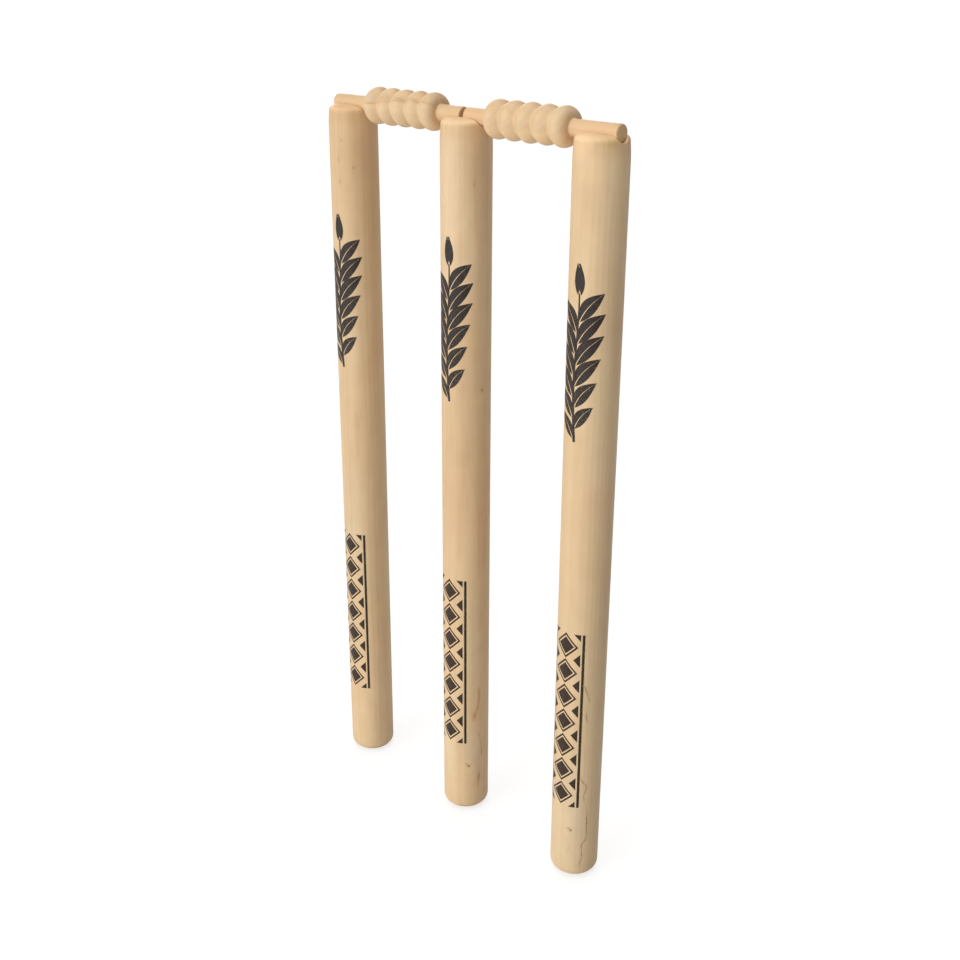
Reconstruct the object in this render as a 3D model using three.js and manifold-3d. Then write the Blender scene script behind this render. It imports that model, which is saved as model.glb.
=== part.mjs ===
// Cricket stumps: three turned wooden stumps, and two turned wooden bails that lie in the grooves
// across their tops. Lengths are in millimetres. The wicket stands along X, its front faces -Y and
// Z is up. The origin is in the middle of the middle stump's foot.

import * as THREE from "three";
import { mergeVertices } from "three/addons/utils/BufferGeometryUtils.js";
import Module from "manifold-3d";

// Sizes of a stump
const stumpDiameter = 36.5;
const stumpHeight = 556.4; // from the foot to the middle of the domed top
const stumpPitch = 119.3; // from the middle of one stump to the middle of the next
const footEaseWidth = 9.5; // how far the blunt foot's rounding reaches in from the side
const footEaseHeight = 8; // how far it reaches up the side
const neckLength = 11; // the stretch under the dome in which the stump draws in a little
const neckDrawIn = 0.5; // by how much its radius draws in there
const domeHeight = 6.9;
const grooveDepth = 5.5; // from the middle of the domed top down to the floor of the bail groove

// Sizes of a bail
const spigotDiameter = 11.2;
const beadDiameter = 26.2;
const valleyDiameter = 18.4; // between two beads
const barrelInnerClearance = 6; // from the side of the middle stump to the barrel
const barrelOuterClearance = 5; // from the barrel to the side of the outer stump
const coveLength = 1.2; // the hollow curve that runs from the end of the barrel down to the spigot
const coveDepth = 0.8; // how far it stands up off the spigot
const endEase = 0.6; // the eased edge round the end of a spigot
const middleGap = 3.4; // between the two bails, over the middle stump
const endInset = 2.7; // from the side of an outer stump in to the end of its bail

// Fits and cuts
const seatClearance = 0.3; // between a spigot and the groove that it lies in
const cutOverrun = 2; // how far a cutter runs past the wood

// Counts, and the powers of the curves: 1 is a parabola, 2 is an ellipse, and more is fuller
const beadCount = 5;
const domeFullness = 3.5;
const beadFullness = 2; // at the ends of the barrel
const valleyFullness = 1; // where a bead runs down to a valley

// Facets round each piece and along each curve
const stumpSides = 48;
const bailSides = 32;
const footSteps = 5;
const neckSteps = 3;
const domeSteps = 8;
const beadSteps = 4; // along half a bead
const coveSteps = 3;
const easeSteps = 2;

// Sizes that follow from the ones above
const stumpRadius = stumpDiameter / 2;
const neckRadius = stumpRadius - neckDrawIn;
const spigotRadius = spigotDiameter / 2;
const coveRadius = spigotRadius + coveDepth;
const valleyRadius = valleyDiameter / 2;
const beadRadius = beadDiameter / 2;
const grooveRadius = spigotRadius + seatClearance;
const bailAxisHeight = stumpHeight - grooveDepth + grooveRadius;
const barrelLength = stumpPitch - stumpDiameter - barrelInnerClearance - barrelOuterClearance;
const beadLength = barrelLength / beadCount;
const bailLength = stumpPitch + stumpRadius - endInset - middleGap / 2;

const stumpColor = 0xe6c99d;
const bailColor = 0xe2bd8c;
const woodRoughness = 0.6;

const quarterTurn = Math.PI / 2;
const halfTurn = Math.PI;

/** Points along a stretch of an ellipse about (radius, height), clockwise where the turn goes back. */
function ellipseArc(radius, height, halfWidth, halfHeight, from, to, steps) {
  const curve = new THREE.EllipseCurve(radius, height, halfWidth, halfHeight, from, to, to < from);
  return curve.getPoints(steps);
}

/** The rounded foot, from the rim of its flat to the side of the stump. */
function footPoints() {
  const flatRadius = stumpRadius - footEaseWidth;
  return ellipseArc(flatRadius, footEaseHeight, footEaseWidth, footEaseHeight, -quarterTurn, 0, footSteps);
}

/** The neck, where the straight side draws in towards the dome. */
function neckPoints() {
  const top = stumpHeight - domeHeight;
  const start = new THREE.Vector2(stumpRadius, top - neckLength);
  const bend = new THREE.Vector2(stumpRadius, top - neckLength / 2);
  const end = new THREE.Vector2(neckRadius, top);
  return new THREE.QuadraticBezierCurve(start, bend, end).getPoints(neckSteps);
}

/** The dome, full at its shoulder and nearly level in the middle, without its lowest point. */
function domePoints() {
  const base = stumpHeight - domeHeight;
  const points = [];
  for (let step = 1; step < domeSteps; step += 1) {
    const turn = (quarterTurn * step) / domeSteps;
    const radius = neckRadius * Math.cos(turn) ** (2 / domeFullness);
    const height = base + domeHeight * Math.sin(turn) ** (2 / domeFullness);
    points.push(new THREE.Vector2(radius, height));
  }
  points.push(new THREE.Vector2(0, stumpHeight));
  return points;
}

/** The outline that a stump is turned to, from the middle of its foot to the middle of its top. */
function stumpOutline() {
  return [new THREE.Vector2(0, 0), ...footPoints(), ...neckPoints(), ...domePoints()];
}

/** Half a bead, from its crown, which is left out, down to its foot, and reach far along the bail. */
function halfBeadPoints(middle, reach, footRadius, fullness) {
  const points = [];
  for (let step = 1; step <= beadSteps; step += 1) {
    const turn = (quarterTurn * step) / beadSteps;
    const rise = (beadRadius - footRadius) * Math.cos(turn) ** (2 / fullness);
    points.push(new THREE.Vector2(footRadius + rise, middle + reach * Math.sin(turn)));
  }
  return points;
}

/** The barrel's beads. They run down to valleys between them, and come full round at the barrel's ends. */
function beadPoints(barrelStart) {
  const points = [];
  const reach = beadLength / 2;
  for (let bead = 0; bead < beadCount; bead += 1) {
    const middle = barrelStart + reach + beadLength * bead;
    const valley = [valleyRadius, valleyFullness];
    const end = [coveRadius, beadFullness];
    const inner = halfBeadPoints(middle, -reach, ...(bead === 0 ? end : valley));
    const outer = halfBeadPoints(middle, reach, ...(bead === beadCount - 1 ? end : valley));
    points.push(...inner.reverse(), new THREE.Vector2(beadRadius, middle), ...outer);
  }
  return points;
}

/** The outline that a bail is turned to, from its inner end, at height zero, to its outer end. */
function bailOutline() {
  const barrelStart = stumpRadius + barrelInnerClearance - middleGap / 2;
  const barrelEnd = barrelStart + barrelLength;
  const easeRadius = spigotRadius - endEase;
  const outerEase = bailLength - endEase;
  const innerCove = barrelStart - coveLength;
  const outerCove = barrelEnd + coveLength;
  return [
    new THREE.Vector2(0, 0),
    ...ellipseArc(easeRadius, endEase, endEase, endEase, -quarterTurn, 0, easeSteps),
    ...ellipseArc(coveRadius, innerCove, coveDepth, coveLength, halfTurn, quarterTurn, coveSteps),
    ...beadPoints(barrelStart),
    ...ellipseArc(coveRadius, outerCove, coveDepth, coveLength, -quarterTurn, -halfTurn, coveSteps),
    ...ellipseArc(easeRadius, outerEase, endEase, endEase, 0, quarterTurn, easeSteps),
    new THREE.Vector2(0, bailLength),
  ];
}

/** A closed body turned about Y from an outline that starts and ends on the axis. */
function turned(outline, sides) {
  return new THREE.LatheGeometry(outline, sides);
}

/** The cutter for a bail groove: a round floor, and upright walls that let the bail lift out. */
function grooveCutter() {
  const top = Math.max(stumpHeight, bailAxisHeight) + cutOverrun;
  const section = new THREE.Shape();
  section.moveTo(grooveRadius, top);
  section.lineTo(-grooveRadius, top);
  section.lineTo(-grooveRadius, bailAxisHeight);
  section.absarc(0, bailAxisHeight, grooveRadius, halfTurn, 2 * halfTurn, false);
  const length = stumpDiameter + 2 * cutOverrun;
  const cutter = new THREE.ExtrudeGeometry(section, {
    depth: length,
    bevelEnabled: false,
    curveSegments: bailSides / 4, // an arc takes two steps for each, so the floor lines up with the bail
  });
  cutter.translate(0, 0, -length / 2);
  return cutter.rotateX(quarterTurn).rotateZ(quarterTurn);
}

/** The geometry with only its positions, each corner once, and no triangle without area. */
function weldedCorners(geometry) {
  const bare = new THREE.BufferGeometry();
  bare.setAttribute("position", geometry.getAttribute("position"));
  bare.setIndex(geometry.getIndex());
  const welded = mergeVertices(bare);
  const corners = welded.getIndex().array;
  const kept = [];
  for (let start = 0; start < corners.length; start += 3) {
    const [a, b, c] = corners.slice(start, start + 3);
    if (a !== b && b !== c && c !== a) {
      kept.push(a, b, c);
    }
  }
  welded.setIndex(kept);
  return welded;
}

/** What is left of one closed geometry once another is cut away from it. */
function cutAway(wasm, body, cutter) {
  const [whole, tool] = [body, cutter].map((geometry) => {
    const welded = weldedCorners(geometry);
    const vertProperties = new Float32Array(welded.getAttribute("position").array);
    const triVerts = new Uint32Array(welded.getIndex().array);
    return new wasm.Manifold(new wasm.Mesh({ numProp: 3, vertProperties, triVerts }));
  });
  const { vertProperties, triVerts } = whole.subtract(tool).getMesh();
  const result = new THREE.BufferGeometry();
  result.setAttribute("position", new THREE.BufferAttribute(vertProperties, 3));
  result.setIndex(new THREE.BufferAttribute(triVerts, 1));
  result.computeVertexNormals();
  return result;
}

/** A stump, standing on the origin, with the bail groove cut along X through its dome. */
function stumpGeometry(wasm) {
  const blank = turned(stumpOutline(), stumpSides).rotateX(quarterTurn);
  return cutAway(wasm, blank, grooveCutter());
}

/** A bail lying along X, with its inner end at the origin. */
function bailGeometry() {
  const bail = weldedCorners(turned(bailOutline(), bailSides).rotateZ(-quarterTurn));
  bail.computeVertexNormals();
  return bail;
}

/** Bare turned wood of one colour. */
function wood(color) {
  return new THREE.MeshStandardMaterial({ color, roughness: woodRoughness, metalness: 0 });
}

/** A named piece of bare wood. */
function piece(name, geometry, color) {
  const mesh = new THREE.Mesh(geometry, wood(color));
  mesh.name = name;
  return mesh;
}

/** One stump, its middle at the given place along X. */
function stump(name, geometry, place) {
  const mesh = piece(name, geometry, stumpColor);
  mesh.position.x = place;
  return mesh;
}

/** One bail, from the middle stump out to the stump on the side that it is turned to. */
function bail(name, geometry, turn) {
  const mesh = piece(name, geometry, bailColor);
  mesh.rotation.z = turn;
  mesh.position.set(Math.cos(turn) * (middleGap / 2), 0, bailAxisHeight);
  return mesh;
}

const wasm = await Module();
wasm.setup();
const stumpShape = stumpGeometry(wasm);
const bailShape = bailGeometry();

const wicket = new THREE.Group();
wicket.add(
  stump("off_stump", stumpShape, -stumpPitch),
  stump("middle_stump", stumpShape, 0),
  stump("leg_stump", stumpShape, stumpPitch),
  bail("off_bail", bailShape, halfTurn),
  bail("leg_bail", bailShape, 0),
);

export default wicket;
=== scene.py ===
"""Looks of a set of cricket stumps: three turned posts and the two turned bails across their tops.

The wicket stands along X with its front, which carries the ink marks, towards -Y. Shapes and
patterns are worked out in millimetres and brought down to metres once a mesh is finished. A tint
is what a colour is multiplied by. The two numbers of an edge or a fade are where a soft step
starts and where it ends.
"""

from __future__ import annotations

import functools
import logging
import math
from dataclasses import dataclass, field
from enum import Enum
from typing import ClassVar

import bmesh
import bpy
from mathutils import Matrix, Vector, noise

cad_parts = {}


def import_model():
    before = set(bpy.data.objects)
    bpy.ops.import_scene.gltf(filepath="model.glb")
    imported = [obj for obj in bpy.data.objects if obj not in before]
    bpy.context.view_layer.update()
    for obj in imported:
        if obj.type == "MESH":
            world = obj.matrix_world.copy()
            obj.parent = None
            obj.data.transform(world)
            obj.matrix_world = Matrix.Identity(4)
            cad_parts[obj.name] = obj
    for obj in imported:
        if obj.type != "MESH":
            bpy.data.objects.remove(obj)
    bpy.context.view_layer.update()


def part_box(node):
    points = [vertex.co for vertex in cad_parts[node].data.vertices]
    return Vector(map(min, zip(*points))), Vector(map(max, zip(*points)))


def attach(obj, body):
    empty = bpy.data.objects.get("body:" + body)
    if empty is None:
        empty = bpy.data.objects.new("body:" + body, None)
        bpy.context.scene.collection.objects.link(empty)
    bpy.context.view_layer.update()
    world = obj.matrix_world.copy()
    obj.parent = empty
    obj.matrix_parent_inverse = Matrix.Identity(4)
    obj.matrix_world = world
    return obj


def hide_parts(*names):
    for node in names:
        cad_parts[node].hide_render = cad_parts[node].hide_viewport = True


LOG = logging.getLogger("wicket")
MM = 0.001
PER_METRE = 1000.0
FULL_TURN = 2 * math.pi
QUARTER_TURN = math.pi / 2

Colour = tuple[float, float, float]
Point = tuple[float, float]
ORIGIN = (0.0, 0.0, 0.0)


class Place(Enum):
    """Where a stump stands in the wicket."""

    OFF = "off"
    MIDDLE = "middle"
    LEG = "leg"


class Side(Enum):
    """Which pair of stumps a bail lies across."""

    OFF = "off"
    LEG = "leg"


# Node trees: values that change over a surface, and the nodes that make them


@dataclass(frozen=True)
class Layer:
    """A layer of noise: its bumps to a millimetre across and along the grain, its seed and its detail."""

    across: float
    along: float
    seed: float = 0.0
    detail: float = 2.0


class Field:
    """A value that changes over the surface: one output of a node tree, with sums on it."""

    def __init__(self, wiring: Wiring, socket: bpy.types.NodeSocket) -> None:
        """Keep the output and the wiring that adds nodes to its tree.

        Args:
            wiring: what adds nodes to the tree that the output is in.
            socket: the output.
        """
        self.wiring = wiring
        self.socket = socket

    def __add__(self, other: Value) -> Field:
        """The sum of two values."""
        return self.wiring.math("ADD", self, other)

    def __radd__(self, other: Value) -> Field:
        """The sum of two values."""
        return self.wiring.math("ADD", other, self)

    def __sub__(self, other: Value) -> Field:
        """This value less another."""
        return self.wiring.math("SUBTRACT", self, other)

    def __rsub__(self, other: Value) -> Field:
        """Another value less this one."""
        return self.wiring.math("SUBTRACT", other, self)

    def __mul__(self, other: Value) -> Field:
        """The product of two values."""
        return self.wiring.math("MULTIPLY", self, other)

    def __rmul__(self, other: Value) -> Field:
        """The product of two values."""
        return self.wiring.math("MULTIPLY", other, self)

    def __truediv__(self, other: Value) -> Field:
        """This value divided by another."""
        return self.wiring.math("DIVIDE", self, other)

    def __abs__(self) -> Field:
        """The value without its sign."""
        return self.wiring.math("ABSOLUTE", self)


Value = Field | float | tuple


class Wiring:
    """Adds nodes to one node tree and joins them."""

    def __init__(self, tree: bpy.types.NodeTree) -> None:
        """Start on a tree.

        Args:
            tree: the node tree of a material, the world or a node group.
        """
        self.tree = tree

    def node(self, kind: str, given: dict[str | int, Value], **settings: object) -> bpy.types.Node:
        """Add a node.

        Args:
            kind: the node's type name, without its leading Shader.
            given: what each input gets, by the input's name or number.
            settings: what is set on the node itself, before its inputs.

        Returns:
            The new node.
        """
        made = self.tree.nodes.new("Shader" + kind)
        for name, setting in settings.items():
            setattr(made, name, setting)
        for key, value in given.items():
            self.feed(made.inputs[key], value)
        return made

    def feed(self, socket: bpy.types.NodeSocket, value: Value) -> None:
        """Join a field to an input, or set a number or colour on it.

        Args:
            socket: the input.
            value: the field, number or numbers.
        """
        if isinstance(value, Field):
            self.tree.links.new(value.socket, socket)
        else:
            socket.default_value = value

    def math(self, operation: str, *values: Value) -> Field:
        """The result of a Math node on one, two or three values."""
        return Field(self, self.node("NodeMath", dict(enumerate(values)), operation=operation).outputs[0])

    def highest(self, *values: Value) -> Value:
        """The highest of several values."""
        return functools.reduce(functools.partial(self.math, "MAXIMUM"), values)

    def lowest(self, *values: Value) -> Value:
        """The lowest of several values."""
        return functools.reduce(functools.partial(self.math, "MINIMUM"), values)

    def ramp(self, value: Value, start: Value, end: Value) -> Field:
        """A smooth step from 0 where the value is at start to 1 where it is at end."""
        given = {"Value": value, "From Min": start, "From Max": end}
        return Field(self, self.node("NodeMapRange", given, interpolation_type="SMOOTHSTEP").outputs[0])

    def parts(self, vector: Value) -> tuple[Field, Field, Field]:
        """The three coordinates of a vector."""
        made = self.node("NodeSeparateXYZ", {0: vector})
        return tuple(Field(self, output) for output in made.outputs)

    def combined(self, x: Value, y: Value, z: Value) -> Field:
        """A vector from its three coordinates."""
        return Field(self, self.node("NodeCombineXYZ", {0: x, 1: y, 2: z}).outputs[0])

    def vector(self, operation: str, *values: Value) -> Field:
        """The result of a Vector Math node."""
        made = self.node("NodeVectorMath", dict(enumerate(values)), operation=operation)
        return Field(self, made.outputs["Value" if operation == "LENGTH" else "Vector"])

    def noise(self, place: Value, layer: Layer, seed: Value = 0.0) -> Field:
        """Smooth noise from 0 to 1.

        Args:
            place: where on the piece, in millimetres, with its grain along Z.
            layer: what the noise is like.
            seed: what sets this piece apart from others.

        Returns:
            The noise.
        """
        scaled = self.vector("MULTIPLY", place, (layer.across, layer.across, layer.along))
        given = {"Vector": scaled, "W": seed + layer.seed, "Scale": 1.0, "Detail": layer.detail}
        return Field(self, self.node("NodeTexNoise", given, noise_dimensions="4D").outputs[0])

    def stray(self, place: Value, layer: Layer, reach: float, seed: Value = 0.0) -> Field:
        """Smooth noise about 0, up to half the reach each way."""
        return (self.noise(place, layer, seed) - 0.5) * reach

    def mix(self, share: Value, first: Value, second: Value, blend: str = "MIX") -> Field:
        """Two colours mixed, by the share of the second."""
        given = {0: share, 6: opaque(first), 7: opaque(second)}  # a Mix node's colour sockets
        return Field(self, self.node("NodeMix", given, data_type="RGBA", blend_type=blend).outputs[2])

    def curve(self, value: Value, points: list[Point]) -> Field:
        """A value carried through a hand-drawn curve.

        Args:
            value: where along the curve, from 0 to 1.
            points: the curve's points, each from 0 to 1 both ways.

        Returns:
            The curve's height there.
        """
        made = self.node("NodeFloatCurve", {1: value})
        line = made.mapping.curves[0]
        for spot in points[len(line.points):]:
            line.points.new(*spot)
        for held, spot in zip(line.points, sorted(points), strict=True):
            held.location = spot
            held.handle_type = "AUTO_CLAMPED"
        made.mapping.update()
        return Field(self, made.outputs[0])

    def group(self, tree: bpy.types.NodeTree, given: dict[str, Value]) -> dict[str, Field]:
        """Place a node group.

        Args:
            tree: the group's tree.
            given: what each of its inputs gets.

        Returns:
            Its outputs by name.
        """
        made = self.node("NodeGroup", given, node_tree=tree, label=tree.name)
        return {output.name: Field(self, output) for output in made.outputs}

    def show(self, shader: bpy.types.Node, kind: str = "NodeOutputMaterial") -> None:
        """Join a shader to the tree's output, a node of the kind given."""
        self.feed(self.node(kind, {}).inputs["Surface"], Field(self, shader.outputs[0]))


def opaque(value: Value) -> Value:
    """A colour of three numbers with full opacity added, and anything else as it is."""
    return (*value, 1.0) if isinstance(value, tuple) and len(value) == 3 else value


class Effect:
    """A node group under construction, with named inputs and outputs."""

    KINDS = {float: "NodeSocketFloat", tuple: "NodeSocketVector"}
    OVAL = {
        "Across": 0.0, "Height": 0.0, "Middle Across": 0.0, "Middle Height": 0.0,
        "Width": 10.0, "Length": 30.0,
    }

    def __init__(self, name: str, inputs: dict[str, float | Colour]) -> None:
        """Make the group and its inputs.

        Args:
            name: what the group does.
            inputs: each input's name, and the value that it has when nothing feeds it.
        """
        self.tree = bpy.data.node_groups.new(name, "ShaderNodeTree")
        self.wiring = Wiring(self.tree)
        for label, value in inputs.items():
            kind = self.KINDS[type(value)]
            socket = self.tree.interface.new_socket(label, in_out="INPUT", socket_type=kind)
            socket.default_value = value
        entry = self.tree.nodes.new("NodeGroupInput")
        self.inputs = {socket.name: Field(self.wiring, socket) for socket in entry.outputs if socket.name}

    def distance(self) -> Field:
        """How far a point lies from the middle of the oval that the inputs give.

        Returns:
            The distance, which is 1 at the oval's edge.
        """
        given = self.inputs
        across = (given["Across"] - given["Middle Across"]) / given["Width"]
        along = (given["Height"] - given["Middle Height"]) / given["Length"]
        return self.wiring.vector("LENGTH", self.wiring.combined(across, along, 0.0))

    def close(self, **outputs: Field) -> bpy.types.NodeTree:
        """Give the group its outputs.

        Args:
            outputs: each output's name and the value that it puts out.

        Returns:
            The finished group.
        """
        for label in outputs:
            self.tree.interface.new_socket(label, in_out="OUTPUT", socket_type="NodeSocketFloat")
        leave = self.tree.nodes.new("NodeGroupOutput")
        for label, value in outputs.items():
            self.wiring.feed(leave.inputs[label], value)
        return self.tree


# Effects: the node groups that more than one material uses


@dataclass(frozen=True)
class WoodGrain:
    """Growth rings, fibres, pores and slow changes of tone in a straight-grained wood.

    A shade is how much a feature counts in the wood's tone, and a height how far it stands off the surface.
    """

    wander: float = 9.0
    unevenness: float = 1.1
    late_start: float = 0.30
    late_peak: float = 0.90
    faintest: float = 0.35  # of the rings, and of the pores between them
    pore_edge: Point = (0.66, 0.76)
    drift: Layer = Layer(0.004, 0.0035)
    side_drift: Layer = Layer(0.004, 0.0035, 7.3)
    uneven: Layer = Layer(0.05, 0.006, 3.1)
    streak: Layer = Layer(0.42, 0.006, 11.0, 3.0)
    fibre: Layer = Layer(2.6, 0.045, 17.0, 3.0)
    patch: Layer = Layer(0.028, 0.011, 23.0)
    mottle: Layer = Layer(0.10, 0.045, 37.0)
    pore: Layer = Layer(5.5, 0.19, 29.0, 0.0)
    streak_shade: float = 0.95
    fibre_shade: float = 0.75
    late_shade: float = 0.42
    pore_shade: float = 0.45
    patch_shade: float = 0.7
    mottle_shade: float = 1.4
    fibre_height: float = 0.035
    late_height: float = 0.012
    pore_depth: float = 0.05

    def build(self) -> bpy.types.NodeTree:
        """Build the group.

        Returns:
            A group that puts out Tone, about 0 and up to 1 each way, Late, Patch and Height.
        """
        effect = Effect("Wood grain", {"Place": ORIGIN, "Pith": ORIGIN, "Spacing": 3.0, "Seed": 0.0})
        w, given = effect.wiring, effect.inputs
        place, seed = given["Place"], given["Seed"]
        x, y, _ = w.parts(w.vector("SUBTRACT", place, given["Pith"]))
        x = x + w.stray(place, self.drift, self.wander, seed)
        y = y + w.stray(place, self.side_drift, self.wander, seed)
        radius = w.vector("LENGTH", w.combined(x, y, 0.0))
        phase = radius / given["Spacing"] + w.noise(place, self.uneven, seed) * self.unevenness
        turn, year = w.math("FRACT", phase), w.math("FLOOR", phase)
        odd = w.node("NodeTexWhiteNoise", {"W": year + seed}, noise_dimensions="1D").outputs["Value"]
        rest = 1.0 - self.faintest
        late = w.ramp(turn, self.late_start, self.late_peak) * (1.0 - w.ramp(turn, self.late_peak, 1.0))
        late = late * (self.faintest + Field(w, odd) * rest)
        pore = w.ramp(w.noise(place, self.pore, seed), *self.pore_edge) * (self.faintest + late * rest)
        fibre = w.noise(place, self.fibre, seed) - 0.5
        patch = w.noise(place, self.patch, seed)
        tone = w.stray(place, self.streak, self.streak_shade, seed) + fibre * self.fibre_shade
        tone = tone - late * self.late_shade - pore * self.pore_shade + (patch - 0.5) * self.patch_shade
        tone = tone + w.stray(place, self.mottle, self.mottle_shade, seed)
        height = fibre * self.fibre_height - pore * self.pore_depth + late * self.late_height
        return effect.close(Tone=tone, Late=late, Patch=patch, Height=height)


@dataclass(frozen=True)
class Knot:
    """A small knot or brown fleck: where it is, in degrees round the piece and in height, and its size."""

    angle: float
    height: float
    width: float
    length: float
    depth: float = 1.0
    core: Colour = (0.42, 0.32, 0.24)
    stain: Colour = (0.80, 0.70, 0.58)
    ragged: ClassVar[Layer] = Layer(0.9, 0.6, 5.0)
    raggedness: ClassVar[float] = 0.5
    core_edge: ClassVar[Point] = (0.35, 1.0)
    halo_edge: ClassVar[Point] = (0.5, 2.6)

    @classmethod
    def build(cls) -> bpy.types.NodeTree:
        """Build the group.

        Returns:
            A group that puts out Core, the knot itself, and Halo, the stained wood round it.
        """
        effect = Effect("Knot", {"Place": ORIGIN} | Effect.OVAL)
        w = effect.wiring
        far = effect.distance() + w.stray(effect.inputs["Place"], cls.ragged, cls.raggedness)
        return effect.close(Core=1.0 - w.ramp(far, *cls.core_edge), Halo=1.0 - w.ramp(far, *cls.halo_edge))


@dataclass(frozen=True)
class Blush:
    """A soft patch of wood of another tone: where it is, how far it reaches each way, and its tint."""

    angle: float
    height: float
    width: float
    length: float
    tint: Colour
    edge: ClassVar[Point] = (0.1, 1.25)

    @classmethod
    def build(cls) -> bpy.types.NodeTree:
        """Build the group.

        Returns:
            A group that puts out Share, how much of the patch's tone a point has.
        """
        effect = Effect("Soft patch", Effect.OVAL | {"Uneven": 0.0})
        w = effect.wiring
        far = effect.distance() + effect.inputs["Uneven"]
        return effect.close(Share=1.0 - w.ramp(far, *cls.edge))


@dataclass(frozen=True)
class Check:
    """A hairline crack: its points, in degrees round the piece and in height, and its width."""

    points: tuple[Point, ...]
    width: float = 0.32
    depth: float = 1.0
    core: Colour = (0.52, 0.42, 0.31)
    stain: Colour = (0.84, 0.76, 0.66)
    shiver: ClassVar[Layer] = Layer(0.5, 0.55, 9.0, 3.0)
    shiver_reach: ClassVar[float] = 1.3
    broken: ClassVar[Layer] = Layer(0.03, 0.12, 13.0)
    broken_edge: ClassVar[Point] = (0.36, 0.6)
    faintest: ClassVar[float] = 0.25
    firmer: ClassVar[float] = 0.9
    end_fade: ClassVar[Point] = (-1.0, 7.0)
    line_edge: ClassVar[Point] = (0.35, 1.5)  # as shares of the width
    stain_reach: ClassVar[float] = 3.2

    @classmethod
    def build(cls) -> bpy.types.NodeTree:
        """Build the group.

        Returns:
            A group that puts out Line, the crack, and Stain, the darker wood along it.
        """
        inputs = {"Across": 0.0, "Height": 0.0, "Path": 0.0, "Bottom": 0.0, "Top": 1.0, "Width": 0.3}
        effect = Effect("Hairline check", {"Place": ORIGIN} | inputs)
        w, given = effect.wiring, effect.inputs
        place, height = given["Place"], given["Height"]
        off = abs(given["Across"] - given["Path"] + w.stray(place, cls.shiver, cls.shiver_reach))
        ends = w.ramp(w.lowest(height - given["Bottom"], given["Top"] - height), *cls.end_fade)
        uneven = cls.faintest + w.ramp(w.noise(place, cls.broken), *cls.broken_edge) * cls.firmer
        core, edge = (given["Width"] * share for share in cls.line_edge)
        line = (1.0 - w.ramp(off, core, edge)) * ends * uneven
        stain = (1.0 - w.ramp(off, 0.0, cls.stain_reach)) * ends * uneven
        return effect.close(Line=line, Stain=stain)


@dataclass(frozen=True)
class HeartLine:
    """Where heartwood meets sapwood: the check along the line between them, and the tint beyond it."""

    check: Check
    tint: Colour = (0.935, 0.915, 0.905)
    edge: Point = (-0.5, 0.7)
    end_fade: Point = (-3.0, 6.0)
    shiver: Layer = Layer(0.3, 0.10, 61.0, 3.0)
    shiver_reach: float = 2.0


@dataclass(frozen=True)
class Leaf:
    """One leaf of ink, which bends over as it grows out of its stem."""

    bend: float = 0.42
    lift: float = 0.2
    fullness: float = 1.15
    taper: float = 0.35
    vein_width: float = 0.34
    share_limits: Point = (-0.5, 1.5)

    def build(self) -> bpy.types.NodeTree:
        """Build the group.

        Returns:
            A group that puts out Depth, how far a point lies inside the leaf's edge.
        """
        effect = Effect("Leaf", {"Out": 0.0, "Up": 0.0, "Length": 20.0, "Width": 4.0, "Lean": 0.6})
        w, given = effect.wiring, effect.inputs
        sine, cosine = w.math("SINE", given["Lean"]), w.math("COSINE", given["Lean"])
        along = given["Out"] * sine + given["Up"] * cosine
        aside = given["Out"] * cosine - given["Up"] * sine
        least, most = self.share_limits
        share = w.lowest(w.highest(along / given["Length"], least), most)
        belly = share * (1.0 - share) * 4.0  # 1 halfway along the leaf, and 0 at both its ends
        middle = abs(aside + belly * given["Width"] * self.bend - given["Width"] * self.lift)
        past = w.highest(-1.0 * along, along - given["Length"], 0.0)
        lens = belly * given["Width"] * (self.fullness - share * self.taper) - middle - past
        return effect.close(Depth=w.lowest(lens, middle - self.vein_width * (1.0 - share)))


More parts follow.
